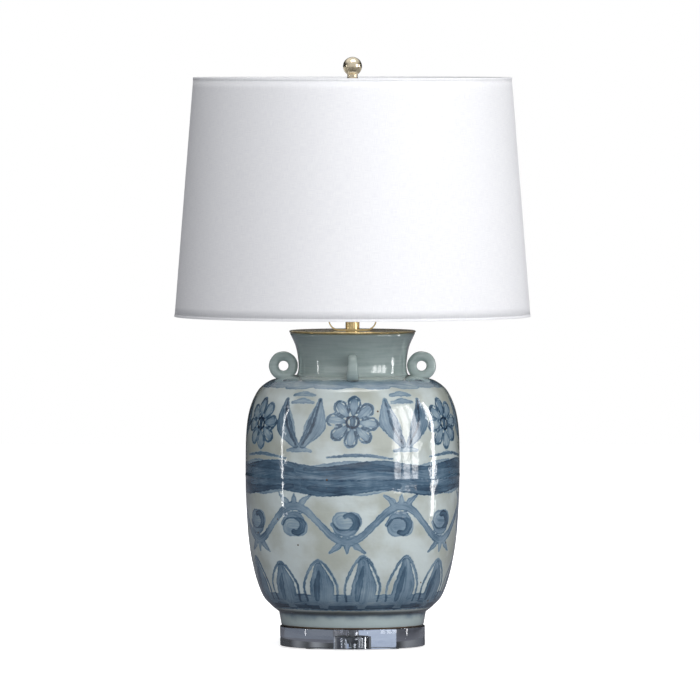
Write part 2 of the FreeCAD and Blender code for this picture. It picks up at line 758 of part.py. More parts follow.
def finial_collar():
    """The flared foot that bears on the washer, cut to the ball."""
    low = WASHER_BOTTOM + WASHER_THICKNESS + RUNNING_GAP
    foot = turned_polygon([
        (FINIAL_BORE, low),
        (FINIAL_FOOT_RADIUS, low),
        (FINIAL_FOOT_RADIUS, low + 2.0),
        (FINIAL_NECK_RADIUS + 1.2, low + 3.0),
        (FINIAL_NECK_RADIUS + 0.8, low + 7.0),
        (FINIAL_NECK_RADIUS, low + 9.5),
        (FINIAL_NECK_RADIUS, FINIAL_BALL_HEIGHT - 6),
        (FINIAL_BORE, FINIAL_BALL_HEIGHT - 6),
    ])
    return foot.cut(Part.makeSphere(FINIAL_BALL_RADIUS, Vector(0, 0, FINIAL_BALL_HEIGHT)))


def lamp():
    """Every piece of the lamp by the name of its node."""
    right_ferrule = ferrule()
    harp_wire = harp()
    spokes = spider_spokes()
    pieces = {
        "base_pads": base_pads(),
        "acrylic_base": acrylic_base(),
        "bottom_washer": bottom_washer(),
        "lock_washer": lock_washer(),
        "bottom_nut": bottom_nut(),
        "threaded_rod": threaded_rod(),
        "jar": jar(),
        "cord_bushing": cord_bushing(),
        "vase_cap": vase_cap(),
        "harp_saddle": harp_saddle(),
        "cap_nut": cap_nut(),
        "neck_spacer": neck_spacer(),
        "socket_cap": socket_cap(),
        "set_screw": set_screw(),
        "socket_shell": socket_shell(),
        "socket_insulator": socket_insulator(),
        "socket_body": socket_body(),
        "terminal_screws": terminal_screws(),
        "screw_shell": screw_shell(),
        "centre_contact": centre_contact(),
        "switch_shaft": switch_shaft(),
        "switch_knob": switch_knob(),
        "bulb_contact": bulb_contact(),
        "bulb_insulator": bulb_insulator(),
        "bulb_base": bulb_base(),
        "bulb_glass": bulb_glass(),
        "harp": harp_wire,
        "harp_stud": harp_stud(harp_wire),
        "ferrule_right": right_ferrule,
        "ferrule_left": mirrored(right_ferrule),
        "shade_fabric": shade_fabric(),
        "shade_liner": shade_liner(),
        "shade_top_hem": hem(SHADE_TOP, -1).cut(spokes),
        "shade_bottom_hem": hem(SHADE_BOTTOM, 1),
        "shade_back_seam": back_seam(),
        "shade_top_ring": frame_ring(SHADE_TOP, -1),
        "shade_bottom_ring": frame_ring(SHADE_BOTTOM, 1),
        "spider_washer": spider_washer(),
        "spider_spokes": spokes,
        "finial_collar": finial_collar(),
        "finial_ball": finial_ball(),
    }
    for name, angle in (("right", 0), ("back", 90), ("left", 180), ("front", 270)):
        pieces["loop_" + name] = loop(angle)
    return pieces


def write_parts():
    os.makedirs("parts", exist_ok=True)
    for name, shape in lamp().items():
        if not shape.isValid() or not shape.Solids:
            raise ValueError(name + " isn't a valid solid")
        shape.exportStep("parts/" + name + ".step")
        low, high = shape.BoundBox.ZMin, shape.BoundBox.ZMax
        print(f"{name}: {len(shape.Solids)} solid(s), {shape.Volume:.0f} mm3, z {low:.1f} to {high:.1f}")


write_parts()
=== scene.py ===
"""The looks of the table lamp: a painted jar on a clear acrylic disc, under a white linen drum shade."""

import json
import math

import bpy
import numpy as np
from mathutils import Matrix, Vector, noise

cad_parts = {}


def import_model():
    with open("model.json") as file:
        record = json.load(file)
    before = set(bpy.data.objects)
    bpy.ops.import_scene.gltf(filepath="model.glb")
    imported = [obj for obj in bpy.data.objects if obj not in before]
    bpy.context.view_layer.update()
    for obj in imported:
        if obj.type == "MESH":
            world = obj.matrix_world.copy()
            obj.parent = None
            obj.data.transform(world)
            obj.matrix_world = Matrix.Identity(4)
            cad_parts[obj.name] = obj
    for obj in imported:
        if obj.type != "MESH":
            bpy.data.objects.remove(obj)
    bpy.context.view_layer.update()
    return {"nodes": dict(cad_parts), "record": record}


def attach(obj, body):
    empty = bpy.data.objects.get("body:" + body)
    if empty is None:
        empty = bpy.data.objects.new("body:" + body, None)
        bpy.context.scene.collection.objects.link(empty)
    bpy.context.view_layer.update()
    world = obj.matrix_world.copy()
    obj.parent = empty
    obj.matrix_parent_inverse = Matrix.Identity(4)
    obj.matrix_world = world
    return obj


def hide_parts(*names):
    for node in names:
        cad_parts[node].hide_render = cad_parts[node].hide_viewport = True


MM = 0.001

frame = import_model()

# Sizes of the real object in millimetres. Heights are from the table the lamp stands on.
BASE_BOTTOM = 1.5
BASE_TOP = 26.9
BASE_RADIUS = 93.0
BASE_BEVEL = 1.1
BORE_RADIUS = 16.0
BORE_DEPTH = 12.0
ROD_HOLE = 5.3
LIP_TOP = 402.3
SEAM_HEIGHT = 220.0
SEAM_RIDGE = 0.45
SEAM_WIDTH = 1.6
LOOP_CIRCLE = 88.5
LOOP_HEIGHT = 359.8
LOOP_RADIUS = 18.5
LOOP_HOLE = 6.25
LOOP_HALF_WIDTH = 5.9
LOOP_FLARE = 2.1
LOOP_USUAL_REACH = 16.0
BALL_RADIUS = 12.2
BALL_HEIGHT = 743.3
SHADE_BOTTOM = 423.0
SHADE_TOP = 729.4
SHADE_BOTTOM_RADIUS = 228.6
SHADE_TOP_RADIUS = 204.47
FABRIC = 0.7
LINER = 0.9
HEM = 0.6
HEM_HEIGHT = 6.0
HEM_BACK = 6.3
HEM_PROUD = 0.2
HEM_LAP = 3.0
HEM_ROUNDING = 0.14
THREAD_SPACING = 0.7

# How many columns of points go round each turned piece.
JAR_COLUMNS = 480
DISC_COLUMNS = 192
BALL_COLUMNS = 96
SHADE_COLUMNS = 256

# The jar as (radius, height): up the outside from the foot, over the lip and down the inside.
FOOT_PROFILE = [(89.6, 26.9), (91.2, 28.5), (94.2, 44.9)]
BODY_PROFILE = [(94.2, 44.9), (103.6, 52.7), (116.0, 67.7), (127.0, 102.2), (134.8, 153.9), (137.2, 229.9),
                (134.6, 290.1), (123.3, 324.6), (107.1, 340.1), (88.0, 345.3), (71.5, 348.2)]
NECK_PROFILE = [(71.5, 348.2), (69.6, 353.4), (69.3, 365.4), (72.6, 384.4), (80.0, 401.3)]
LIP_PROFILE = [(78.8, LIP_TOP), (74.8, LIP_TOP), (73.6, 401.0)]
INSIDE_PROFILE = [(66.4, 384.6), (62.8, 366.0), (62.8, 353.0), (64.5, 342.0), (86.0, 338.4), (103.0, 333.6),
                  (117.0, 320.0), (127.6, 289.0), (130.2, 229.9), (127.8, 154.5), (120.2, 104.4),
                  (110.0, 71.6), (97.0, 57.0), (60.0, 40.5), (ROD_HOLE, 34.6), (ROD_HOLE, 29.9),
                  (80.6, 29.9), (80.6, BASE_TOP)]


# ---------------------------------------------------------------- meshes

def mesh_piece(name, points, faces):
    """A smooth shaded mesh object from points in millimetres."""
    mesh = bpy.data.meshes.new(name)
    mesh.from_pydata((np.asarray(points) * MM).tolist(), [], faces)
    mesh.shade_smooth()
    piece = bpy.data.objects.new(name, mesh)
    bpy.context.scene.collection.objects.link(piece)
    return piece


def spline(points, steps):
    """Points along a smooth curve through the given ones, of any number of dimensions."""
    p = np.array(points, float)
    p = np.vstack([2 * p[0] - p[1], p, 2 * p[-1] - p[-2]])
    t = np.linspace(0, 1, steps, endpoint=False)[:, None]
    runs = []
    for a, b, c, d in zip(p[:-3], p[1:-2], p[2:-1], p[3:]):
        runs.append(0.5 * (2 * b + (c - a) * t + (2 * a - 5 * b + 4 * c - d) * t ** 2
                           + (3 * b - a - 3 * c + d) * t ** 3))
    return np.vstack(runs + [p[-2:-1]])


def evenly(points, spacing):
    """The same line again with its points the given distance apart."""
    steps = np.r_[0, np.cumsum(np.linalg.norm(np.diff(points, axis=0), axis=1))]
    count = max(2, int(round(steps[-1] / spacing)) + 1)
    at = np.linspace(0, steps[-1], count)
    return np.column_stack([np.interp(at, steps, points[:, k]) for k in range(points.shape[1])])


def ring_faces(rows, columns):
    """The quads of a grid of rows by columns that closes on itself both ways."""
    faces = []
    for i in range(rows):
        low, high = i * columns, (i + 1) % rows * columns
        for j in range(columns):
            k = (j + 1) % columns
            faces.append((low + j, low + k, high + k, high + j))
    return faces


def turns(columns):
    """Evenly spaced angles round the lamp's axis, in radians from the front."""
    return np.arange(columns) * 2 * math.pi / columns


def turned_points(outline, columns):
    """The outline's points at each angle round the lamp's axis, one row for each point of the outline."""
    turn = turns(columns)
    radius, height = outline[:, :1], outline[:, 1:]
    points = np.stack([radius * np.sin(turn), -radius * np.cos(turn), height + 0 * turn], axis=-1)
    return points.reshape(-1, 3)


def turned(name, outline, columns):
    """A closed outline of (radius, height), anticlockwise, turned round the lamp's axis."""
    points = turned_points(np.asarray(outline, float), columns)
    return mesh_piece(name, points, ring_faces(len(outline), columns))


def rounded(corners, radius, steps=5):
    """A closed outline with each corner rounded off."""
    corners = np.asarray(corners, float)
    line = []
    for before, corner, after in zip(np.roll(corners, 1, 0), corners, np.roll(corners, -1, 0)):
        into = (before - corner) / np.linalg.norm(before - corner)
        out = (after - corner) / np.linalg.norm(after - corner)
        start, end = corner + into * radius, corner + out * radius
        for t in np.linspace(0, 1, steps):
            line.append(start * (1 - t) ** 2 + 2 * corner * t * (1 - t) + end * t ** 2)
    return np.array(line)


def set_attribute(piece, name, values):
    """Stores one vector at each point of the mesh."""
    attribute = piece.data.attributes.new(name, "FLOAT_VECTOR", "POINT")
    attribute.data.foreach_set("vector", np.ascontiguousarray(values, np.float32).ravel())


# ---------------------------------------------------------------- materials

def plug(tree, socket, value):
    """Links a socket to another node's output, or sets it to a constant."""
    if isinstance(value, bpy.types.NodeSocket):
        tree.links.new(value, socket)
    else:
        socket.default_value = value


def add_node(tree, kind, *inputs, **settings):
    """A node with its settings made and its first inputs filled."""
    made = tree.nodes.new("ShaderNode" + kind)
    for name, value in settings.items():
        setattr(made, name, value)
    for socket, value in zip(made.inputs, inputs):
        plug(tree, socket, value)
    return made


def fill_ramp(ramp, first, stops):
    """Gives a colour ramp its first colour and one more at each of the places after it."""
    elements = ramp.color_ramp.elements
    elements.remove(elements[1])
    elements[0].color = (*first, 1.0)
    for at, colour in stops:
        elements.new(at).color = (*colour, 1.0)


class Surface:
    """A material's node tree, with one short call for each kind of node."""

    def __init__(self, name, **constants):
        self.material = bpy.data.materials.new(name)
        self.material.use_nodes = True
        self.tree = self.material.node_tree
        self.shader = self.tree.nodes["Principled BSDF"]
        for socket, value in constants.items():
            self.set(socket.replace("_", " "), value)

    def set(self, socket, value):
        """Sets one of the shader's own inputs."""
        plug(self.tree, self.shader.inputs[socket], value)

    def node(self, kind, *inputs, **settings):
        return add_node(self.tree, kind, *inputs, **settings)

    def math(self, operation, *values):
        return self.node("Math", *values, operation=operation).outputs[0]

    def position(self):
        """The point on the object in millimetres."""
        return self.stretched(self.node("TexCoord").outputs["Object"], (1 / MM, 1 / MM, 1 / MM))

    def attribute(self, name):
        return self.node("Attribute", attribute_name=name).outputs["Vector"]

    def split(self, vector):
        return self.node("SeparateXYZ", vector).outputs[:]

    def join(self, x, y, z):
        return self.node("CombineXYZ", x, y, z).outputs[0]

    def stretched(self, vector, factors):
        return self.node("VectorMath", vector, factors, operation="MULTIPLY").outputs[0]

    def noise(self, vector, scale, detail, roughness=0.5):
        """Soft noise from 0 to 1. A larger scale makes it finer."""
        made = self.node("TexNoise", vector)
        made.inputs["Scale"].default_value = scale
        made.inputs["Detail"].default_value = detail
        made.inputs["Roughness"].default_value = roughness
        return made.outputs["Fac"]

    def between(self, value, low, high, start=0.0, end=1.0, smooth=True):
        """start where value is low, end where it is high, with a smooth change between."""
        kind = "SMOOTHSTEP" if smooth else "LINEAR"
        return self.node("MapRange", value, low, high, start, end, interpolation_type=kind).outputs[0]

    def mix(self, share, a, b):
        """The colour a where the share is 0 and b where it is 1."""
        made = self.node("Mix", data_type="RGBA")
        for socket, value in (("Factor_Float", share), ("A_Color", a), ("B_Color", b)):
            target = next(s for s in made.inputs if s.identifier == socket)
            if isinstance(value, tuple):
                value = (*value, 1.0)
            plug(self.tree, target, value)
        return next(s for s in made.outputs if s.identifier == "Result_Color")

    def bump(self, height, distance, after=None):
        """Relief as deep as the distance in millimetres, on top of an earlier bump where there is one."""
        made = self.node("Bump")
        made.inputs["Strength"].default_value = 1.0
        made.inputs["Distance"].default_value = distance * MM
        plug(self.tree, made.inputs["Height"], height)
        if after is not None:
            plug(self.tree, made.inputs["Normal"], after)
        return made.outputs[0]


def brass(name, colour, roughness):
    """Lacquered polished brass with faint wiping marks."""
    s = Surface(name, Metallic=1.0, Coat_Weight=0.25, Coat_Roughness=0.08)
    place = s.position()
    cloudy = s.noise(place, 0.12, 3)
    wiped = s.noise(s.stretched(place, (1.0, 1.0, 0.15)), 0.9, 2)
    darker = tuple(c * 0.8 for c in colour)
    s.set("Base Color", s.mix(s.between(cloudy, 0.35, 0.65), darker, colour))
    s.set("Roughness", s.between(wiped, 0.3, 0.7, roughness * 0.75, roughness * 1.4))
    s.set("Normal", s.bump(s.noise(place, 0.5, 3), 0.03))
    return s.material


def bare_metal(name, dark, light, rough, smooth):
    """Grey metal, clouded by its plating or its rolling."""
    s = Surface(name, Metallic=1.0)
    spangle = s.noise(s.position(), 0.35, 4)
    s.set("Base Color", s.mix(s.between(spangle, 0.3, 0.7), dark, light))
    s.set("Roughness", s.between(spangle, 0.3, 0.7, rough, smooth))
    s.set("Normal", s.bump(spangle, 0.03))
    return s.material


def clear_acrylic():
    """Clear cast acrylic with a faint blue tint."""
    s = Surface("clear_acrylic", Transmission_Weight=1.0, IOR=1.49)
    place = s.position()
    cast = s.noise(place, 0.02, 2)
    s.set("Base Color", s.mix(cast, (0.84, 0.885, 0.965), (0.92, 0.945, 0.99)))
    s.set("Roughness", s.between(s.noise(place, 0.2, 3), 0.3, 0.7, 0.0, 0.03))
    return s.material


def clear_pad():
    """Soft clear plastic, a little cloudy."""
    s = Surface("clear_pad", Transmission_Weight=0.8, IOR=1.5)
    cloudy = s.noise(s.position(), 0.3, 3)
    s.set("Base Color", s.mix(cloudy, (0.78, 0.8, 0.8), (0.88, 0.9, 0.9)))
    s.set("Roughness", s.between(cloudy, 0.3, 0.7, 0.25, 0.4))
    return s.material


def frosted_glass():
    """The bulb's white coated glass."""
    s = Surface("frosted_glass", Transmission_Weight=0.08, IOR=1.5)
    frost = s.noise(s.position(), 0.8, 4)
    s.set("Base Color", s.mix(frost, (0.88, 0.88, 0.86), (0.95, 0.95, 0.93)))
    s.set("Roughness", s.between(frost, 0.3, 0.7, 0.35, 0.5))
    return s.material


def moulded(name, dark, light, rough, grain=0.4):
    """Plastic, card or paint: two close shades and a fine grain."""
    s = Surface(name)
    place = s.position()
    cloudy = s.noise(place, grain, 4)
    s.set("Base Color", s.mix(s.between(cloudy, 0.3, 0.7), dark, light))
    s.set("Roughness", s.between(cloudy, 0.3, 0.7, rough * 0.85, rough * 1.15))
    s.set("Normal", s.bump(s.noise(place, grain * 4, 3), 0.03))
    return s.material


def stored_weave(s):
    """A point's place on the shade's flat cloth, from the points of the mesh."""
    return s.attribute("weave")


def upright_weave(s):
    """A point's place on the seam strip, which hangs straight: its own X and height."""
    x, y, z = s.split(s.position())
    return s.join(x, z, y)


def linen(name, place_on_cloth):
    """A fine white weave: crossing threads with slubs of uneven thickness."""
    s = Surface(name, Sheen_Weight=0.15, Sheen_Roughness=0.5)
    weave = place_on_cloth(s)
    across, along, _ = s.split(weave)
    warp = s.noise(s.stretched(weave, (2.6, 0.09, 1.0)), 1.0, 3)
    weft = s.noise(s.stretched(weave, (0.08, 2.6, 1.0)), 1.0, 3)
    slub = s.math("ADD", warp, weft)
    pitch = 2 * math.pi / THREAD_SPACING
    threads = s.math("MULTIPLY", *(s.math("SINE", s.math("MULTIPLY", way, pitch)) for way in (across, along)))
    tone = s.between(slub, 0.8, 1.2)
    s.set("Base Color", s.mix(tone, (0.81, 0.81, 0.835), (0.89, 0.89, 0.9)))
    s.set("Roughness", s.between(slub, 0.8, 1.2, 0.8, 0.92))
    raised = s.math("ADD", s.math("MULTIPLY", slub, 1.2), threads)
    s.set("Normal", s.bump(raised, 0.03))
    return s.material


def plain_glaze_colour(s, place):
    """The grey-green of the neck and the loops, with soft rings left by the throwing."""
    rings = s.noise(s.stretched(place, (0.02, 0.02, 0.35)), 1.0, 2)
    cloudy = s.math("ADD", s.math("MULTIPLY", rings, 0.6), s.math("MULTIPLY", s.noise(place, 0.05, 3), 0.4))
    return s.mix(s.between(cloudy, 0.35, 0.65), (0.34, 0.42, 0.405), (0.40, 0.48, 0.465))


def celadon():
    """Plain grey-green glaze, thin and brown where it breaks over an edge near the shoulder."""
    s = Surface("celadon_glaze", IOR=1.5, Coat_Weight=0.3, Coat_Roughness=0.05)
    place = s.position()
    height = s.split(place)[2]
    cloudy = s.noise(place, 0.09, 3)
    root = s.between(s.math("ADD", height, s.math("MULTIPLY", cloudy, 4.0)), 344.5, 348.0, 1.0, 0.0)
    s.set("Base Color", s.mix(root, plain_glaze_colour(s, place), (0.16, 0.12, 0.08)))
    s.set("Roughness", s.between(cloudy, 0.3, 0.7, 0.1, 0.18))
    s.set("Normal", s.bump(s.noise(place, 0.16, 2), 0.35))
    return s.material


def brushed_on(s, name, tone, place):
    """One layer of brushwork: how much paint lies at a point, from 0 to 1, with streaks along the stroke."""
    edge, across, along = s.split(s.attribute(name))
    wobble = s.math("MULTIPLY", s.math("SUBTRACT", s.noise(place, 0.2, 3), 0.5), 3.4)
    edge = s.math("ADD", edge, wobble)
    covered = s.between(edge, -0.8, 0.8, 1.0, 0.0)
    flat = s.join(s.math("MULTIPLY", across, 0.75), s.math("MULTIPLY", along, 0.03), tone)
    hairs = s.noise(flat, 1.0, 4, 0.6)
    pooled = s.between(edge, -2.6, -0.5, 0.0, 1.0)
    watery = s.noise(place, 0.035, 4)
    strength = tone
    for variation, size in ((hairs, 0.65), (watery, 0.7)):
        strength = s.math("ADD", strength, s.math("MULTIPLY", s.math("SUBTRACT", variation, 0.5), size))
    strength = s.math("ADD", strength, s.math("MULTIPLY", pooled, 0.15))
    return s.math("MULTIPLY", covered, s.between(strength, 0.0, 1.0, smooth=False))


# Cobalt on the ground, from the thinnest wash to where it has pooled: (how much lies there, colour).
THINNEST_COBALT = (0.47, 0.52, 0.5)
COBALT = ((0.2, (0.37, 0.46, 0.50)), (0.42, (0.21, 0.30, 0.38)), (0.68, (0.075, 0.14, 0.21)),
          (1.0, (0.008, 0.022, 0.05)))


def painted_body(s, place):
    """The pale ground with the three layers of brushwork over it and a few brown specks."""
    cloudy = s.noise(place, 0.018, 4)
    ground = s.mix(s.between(cloudy, 0.35, 0.65), (0.44, 0.47, 0.42), (0.60, 0.67, 0.665))
    bare = 1.0
    for layer, tone in zip(Painting.LAYERS, s.split(s.attribute("tones"))):
        bare = s.math("MULTIPLY", bare, s.math("SUBTRACT", 1.0, brushed_on(s, layer, tone, place)))
    cobalt = s.math("SUBTRACT", 1.0, bare)
    ramp = s.node("ValToRGB", cobalt)
    fill_ramp(ramp, THINNEST_COBALT, COBALT)
    body = s.mix(s.between(cobalt, 0.0, 0.22), ground, ramp.outputs[0])
    cells = s.node("TexVoronoi", place)
    cells.inputs["Scale"].default_value = 0.033
    specks = s.between(cells.outputs["Distance"], 0.055, 0.035)
    return s.mix(specks, body, (0.10, 0.06, 0.035))


def painted_glaze():
    """Clear glaze over cobalt brushwork on a pale ground, with plain zones at the foot and the neck, and
    painted shade round the crease above the foot.
    """
    s = Surface("painted_glaze", IOR=1.6, Coat_Weight=0.8, Coat_Roughness=0.04, Coat_IOR=1.6)
    place = s.position()
    height = s.split(place)[2]
    body = painted_body(s, place)
    body = s.mix(s.between(height, 347.2, 348.6), body, plain_glaze_colour(s, place))
    # The foot band turns dark blue towards its top: a blue wash, made deeper as painted shade under the
    # belly's overhang.
    wash_and_shade_edge = s.math("ADD", height, s.math("MULTIPLY", s.noise(place, 0.04, 3), 14.0))
    foot = s.mix(s.between(wash_and_shade_edge, 43.0, 55.0), (0.42, 0.50, 0.50), (0.08, 0.13, 0.19))
    body = s.mix(s.between(height, 49.0, 44.5), body, foot)
    # Painted shade: a near-black band round the crease where the belly meets the foot, where shade falls
    # under the belly.
    painted_crease_shade = s.between(s.math("ABSOLUTE", s.math("SUBTRACT", height, 47.0)), 0.8, 4.5, 0.75, 0.0)
    body = s.mix(painted_crease_shade, body, (0.055, 0.06, 0.065))
    body = s.mix(s.between(height, 29.2, 28.2), body, (0.20, 0.13, 0.08))
    s.set("Base Color", body)
    s.set("Roughness", s.between(s.noise(place, 0.3, 3), 0.3, 0.7, 0.07, 0.13))
    ripples = s.noise(s.stretched(place, (0.25, 0.25, 1.0)), 0.09, 3)
    s.set("Normal", s.bump(s.noise(place, 0.03, 3), 1.8, after=s.bump(ripples, 0.6)))
    return s.material


# ---------------------------------------------------------------- the painting

# Round the jar's body one millimetre is about this many degrees.
DEGREES_PER_MM = 0.44

# How far outside the nearest stroke a point counts as being when there is no stroke near it.
FAR_OUTSIDE = 30.0


class Painting:
    """Brush strokes on the jar, laid out by (degrees from the front, height in millimetres).

    Each of the three layers keeps four numbers for every point of the jar: how far the point is outside the
    nearest stroke's edge, its place across and along that stroke, and the stroke's darkness.
    """

    LAYERS = ("wash", "leaf", "line")

    # How far past its edge a stroke is still measured, for the shader's ragged edges.
    MARGIN = 8

    # Each stroke takes its streaks from another part of the noise, this far from those of the one before.
    SHIFT_ACROSS, SHIFT_ALONG = 7.3, 61.7

    def __init__(self, degrees, profile):
        self.degrees = degrees
        self.height = profile[:, 1]
        self.mm_per_degree = profile[:, 0] * math.pi / 180
        self.arc = np.r_[0, np.cumsum(np.linalg.norm(np.diff(profile, axis=0), axis=1))]
        self.values = {layer: np.zeros((4, len(profile), len(degrees))) for layer in self.LAYERS}
        for values in self.values.values():
            values[0] = FAR_OUTSIDE
        self.count = 0

    def stroke(self, layer, points, width, tone):
        """One stroke. Width is its half width, tone its darkness: one number, or several along it."""
        self.count += 1
        line = spline(points, 8)
        share = np.linspace(0, 1, len(line))
        half, dark = self.spread(width, share), self.spread(tone, share)
        turn, arc = line[:, 0], np.interp(line[:, 1], self.height, self.arc)
        rows, columns, degrees = self.window(turn, arc, half.max() + self.MARGIN)
        scale = self.mm_per_degree[rows][:, None]
        window = (slice(None), *np.ix_(rows, columns))
        best = self.values[layer][window]
        length = 0.0
        for k in range(len(line) - 1):
            ax, ay = (degrees - turn[k]) * scale, (self.arc[rows] - arc[k])[:, None]
            bx, by = (turn[k + 1] - turn[k]) * scale, arc[k + 1] - arc[k]
            size = np.sqrt(bx ** 2 + by ** 2) + 1e-6
            t = np.clip((ax * bx + ay * by) / size ** 2, 0, 1)
            distance = np.hypot(ax - t * bx, ay - t * by)
            outside = distance - (half[k] + t * (half[k + 1] - half[k]))
            across = np.sign(bx * ay - by * ax) * distance + self.SHIFT_ACROSS * self.count
            along = length + t * size + self.SHIFT_ALONG * self.count
            found = np.stack([outside, across, along, dark[k] + t * (dark[k + 1] - dark[k])])
            best = np.where(outside < best[0], found, best)
            length += float(size.mean())
        self.values[layer][window] = best

    def window(self, turn, arc, reach):
        """The rows and columns of points within reach of a stroke, and the columns' places in degrees."""
        rows = np.where((self.arc > arc.min() - reach) & (self.arc < arc.max() + reach))[0]
        far = reach / self.mm_per_degree[rows].min()
        low, high = turn.min() - far, turn.max() + far
        centre = (low + high) / 2
        away = (self.degrees - centre + 180) % 360 - 180
        columns = np.where(np.abs(away) < (high - low) / 2)[0]
        return rows, columns, away[columns] + centre

    @staticmethod
    def spread(values, share):
        """One number for each point of a stroke, from those given evenly along it."""
        values = np.atleast_1d(np.array(values, float))
        return np.interp(share, np.linspace(0, 1, len(values)), values)

    def wash(self, points, width, tone):
        self.stroke("wash", points, width, tone)

    def leaf(self, points, width, tone):
        self.stroke("leaf", points, width, tone)

    def line(self, points, width, tone):
        self.stroke("line", points, width, tone)


def all_round(count, first=0.0):
    """Evenly spaced places round the jar, in degrees from the front."""
    return [first + 360.0 * k / count for k in range(count)]


def sway(turn, size):
    """A small smooth change that keeps repeated strokes from being alike."""
    return size * math.sin(math.radians(3 * turn) + 0.7)


def polar(centre, reach, angle):
    """A point this many millimetres from a centre, at an angle counted from straight up."""
    a = math.radians(angle)
    return (centre[0] + reach * math.sin(a) * DEGREES_PER_MM, centre[1] + reach * math.cos(a))


def middle_band(p):
    """The broad wash all round, which hides the seam between the jar's two halves."""
    for turn in all_round(6):
        steps = (-32, -16, 0, 16, 32)
        p.wash([(turn + step, 221 + 4 * math.sin(math.radians(6 * step))) for step in steps],
               (18, 20, 18), (0.64, 0.7, 0.64))
        p.leaf([(turn - 26, 233), (turn, 238), (turn + 26, 231)], (3, 6, 3), 0.34)
        p.leaf([(turn - 24, 209), (turn + 4, 205), (turn + 26, 211)], (3, 6, 3), 0.38)
        p.line([(turn - 14, 248), (turn + 4, 251), (turn + 22, 246)], (1.3, 2.2, 1.3), 0.5)
        p.line([(turn - 31, 219.5), (turn, 218.8), (turn + 31, 219.5)], 0.8, 0.42)


def rosette(p, centre, size=28, petals=8):
    """A plain round flower: a ring of pale petals with darker edges, round a dark middle."""
    for k in range(petals):
        angle = 360 * k / petals + sway(centre[0], 9)
        p.leaf([polar(centre, size * share, angle) for share in (0.3, 0.65, 0.95)],
               (2.0, 6.0, 4.5), (0.6, 0.32, 0.42))
        edge = ((0.45, -19), (0.95, -16), (1.14, 0), (0.95, 16), (0.45, 19))
        p.line([polar(centre, size * share, angle + aside) for share, aside in edge],
               (1.2, 1.7, 1.2), 0.6)
    p.leaf([polar(centre, 3, 0), polar(centre, 3, 180)], 3.6, 0.75)
    p.line([polar(centre, 7.5, angle) for angle in range(0, 361, 45)], 1.6, 0.85)


def broad_leaf(p, turn, height, side):
    """A leaf that bends to one side, with a rib."""
    root, tip = (turn - side * 4, height - 26), (turn + side * 5, height + 30)
    middle = (turn + side * 4, height + sway(turn, 3))
    p.wash([root, middle, tip], (5, 13, 3), 0.5)
    p.leaf([root, (turn - side * 1, height), (turn + side * 3, height + 22)], (2, 4, 1.5), 0.3)
    p.line([root, (turn + side * 2, height - 2), tip], (1.3, 1.9, 1.2), 0.66)


def upper_flowers(p, count=6):
    """Rosettes round the upper body, with two leaves and three dashes between each pair."""
    for turn in all_round(count):
        rosette(p, (turn, 291 + sway(turn, 3)))
        between = turn + 180 / count
        for side in (-1, 1):
            broad_leaf(p, between + side * 6, 290, side)
        for height in (326, 317, 256):
            p.leaf([(between - 7, height), (between, height + 2), (between + 7, height)], (2, 4, 2), 0.36)


def scrolling_vine(p, height=163, waves=6, rise=23, curl=19):
    """A wavy stem all round, with a tendril curled up in each bend and leaves on the outside."""
    share = 360 / waves
    for turn in all_round(waves, 12):
        stem = [(turn + share * t, height + rise * math.sin(2 * math.pi * t)) for t in np.linspace(0, 1, 9)]
        p.leaf(stem, (4.2, 5.8, 4.2, 5.8, 4.2), 0.5)
        for up, at in ((1, 0.25), (-1, 0.75)):
            bend = (turn + share * at, height - up * 4)
            first = 90 - 90 * up
            curled = zip(range(-80, 201, 40), np.linspace(curl, curl / 3, 8))
            p.leaf([polar(bend, reach, first + up * a) for a, reach in curled],
                   (2.5, 5, 4.5, 3), (0.4, 0.5, 0.6))
            p.wash([polar(bend, 7, 90), polar(bend, 7, 270)], 12, 0.36)
            crest = (turn + share * at, height + up * (rise + 5))
            for aside in (-10, 0, 10):
                p.leaf([(crest[0] + aside * 0.5, crest[1]), (crest[0] + aside, crest[1] + up * 9)],
                       (4.6, 1.4), 0.44)


def foot_leaves(p, count=14):
    """Upright leaves that stand on the foot, each in an outline."""
    for turn in all_round(count, 6):
        top = 110 + sway(turn, 5)
        p.wash([(turn - 12, 64), (turn, 62), (turn + 12, 64)], 10, 0.5)
        p.wash([(turn, 64), (turn + 1, 84), (turn, top)], (16, 16, 6), 0.52)
        p.leaf([(turn - 3, 66), (turn - 2, 84), (turn, top - 6)], (3, 4.5, 1.5), 0.32)
        p.line([(turn - 10, 64), (turn - 10, 88), (turn, top + 8), (turn + 10, 88), (turn + 10, 64)],
               (1.4, 2.0, 1.4), 0.5)


def foot_bands(p):
    """The dark wash and the thin line all round where the body meets the foot. The wash is darkened partly as
    painted shade under the belly.
    """
    for turn in all_round(4):
        # The wash's dark tone is partly painted shade on the underside of the belly.
        p.wash([(turn - 48, 58), (turn, 57), (turn + 48, 58)], 6, 0.78)
        p.line([(turn - 48, 53), (turn, 52.5), (turn + 48, 53)], 2.0, 0.4)


def shoulder(p):
    """Loose strokes round the shoulder, under the loops."""
    for turn in all_round(16):
        lift = sway(turn, 1.5)
        p.wash([(turn, 340.5 + lift), (turn + 12, 341.5), (turn + 22, 339.5 - lift)], (10, 15, 8), 0.42)


def paint(p):
    """Plain repeating brushwork in registers, from the foot to the shoulder."""
    for register in (foot_leaves, foot_bands, scrolling_vine, middle_band, upper_flowers, shoulder):
        register(p)


# ---------------------------------------------------------------- the pieces

def uneven(points, size, scale, seed):
    """How far a hand made surface strays at each point: at most about the size, in millimetres."""
    shift = Vector((seed, seed * 1.7, -seed))
    return np.array([size * noise.noise(Vector(p) * scale + shift) for p in points.tolist()])


